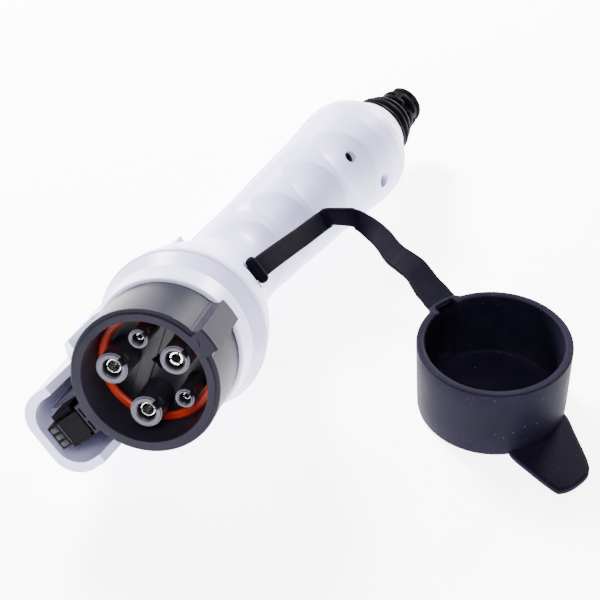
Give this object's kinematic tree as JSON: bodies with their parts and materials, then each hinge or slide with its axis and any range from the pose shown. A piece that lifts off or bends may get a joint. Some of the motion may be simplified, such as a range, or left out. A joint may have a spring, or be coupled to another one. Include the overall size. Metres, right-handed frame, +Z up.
{
  "type": "ev charging connector",
  "caption": "Hand-held charging connector with a round nose, hooded sprung latch, bent grip, boot and a rubber cap on a strap, lying on its side.",
  "frame": {"origin": "centre of the bounding box, on the table", "axes": "+Z up, +Y away from the viewer of the picture, +X to its right; the cap stands with its mouth up"},
  "size_m": [0.1658, 0.1919, 0.0694],
  "materials": {
    "nose_dark": "fine satin moulded plastic",
    "carrier_dark": "matt moulded plastic",
    "sleeve_pale": "smooth pale grey plastic",
    "contact_silver": "silver plated and turned",
    "seal_orange": "soft silicone",
    "screw_steel": "zinc plated",
    "ring_white": "satin gloss white plastic",
    "shell_white": "satin gloss white plastic",
    "lever_black": "satin black plastic",
    "spring_steel": "bright drawn wire",
    "switch_black": "matt",
    "plunger_red": "smooth",
    "board_green": "lacquered board",
    "resistor_blue": "lacquered",
    "boot_rubber": "matt rubber",
    "cap_rubber": "matt rubber"
  },
  "bodies": {
    "housing": {"nose_shell": "nose_dark", "carrier": "carrier_dark", "power_sleeves": "sleeve_pale", "signal_sleeves": "sleeve_pale", "line_contact": "contact_silver", "neutral_contact": "contact_silver", "earth_contact": "contact_silver", "pilot_contact": "contact_silver", "proximity_contact": "contact_silver", "cavity_seal": "seal_orange", "retainer": "carrier_dark", "retainer_screws": "screw_steel", "front_ring": "ring_white", "upper_shell": "shell_white", "lower_shell": "shell_white", "housing_screws": "screw_steel", "latch_pin": "screw_steel", "latch_spring": "spring_steel", "latch_frame": "carrier_dark", "frame_screws": "screw_steel", "micro_switch": "switch_black", "circuit_board": "board_green", "board_resistors": "resistor_blue", "cable_clamp": "carrier_dark", "clamp_screws": "screw_steel", "boot": "boot_rubber"},
    "latch": {"latch_lever": "lever_black"},
    "plunger": {"switch_plunger": "plunger_red"},
    "cap": {"dust_cap": "cap_rubber"}
  },
  "joints": [
    {"name": "latch_press", "type": "hinge", "parent": "housing", "child": "latch", "pos_m": [-0.05856, -0.04915, 0.01905], "axis": [0.5494, -0.3928, -0.7375], "range_deg": [0, 5], "stiffness_Nm_per_rad": 1.6, "springref_deg": -6.88, "deforming": ["latch_spring"]},
    {"name": "switch_press", "type": "slide", "parent": "housing", "child": "plunger", "axis": [0.8011, -0.003, 0.5985], "range_m": [0, 0.0012]},
    {"name": "cap_swing", "type": "hinge", "parent": "housing", "child": "cap", "pos_m": [-0.01424, -0.03735, 0.04579], "axis": [0.5494, -0.3928, -0.7375], "range_deg": [0, 60]}
  ],
  "couplings": [
    {"joint": "switch_press", "follows": "latch_press", "m_per_rad": 0.0135}
  ]
}
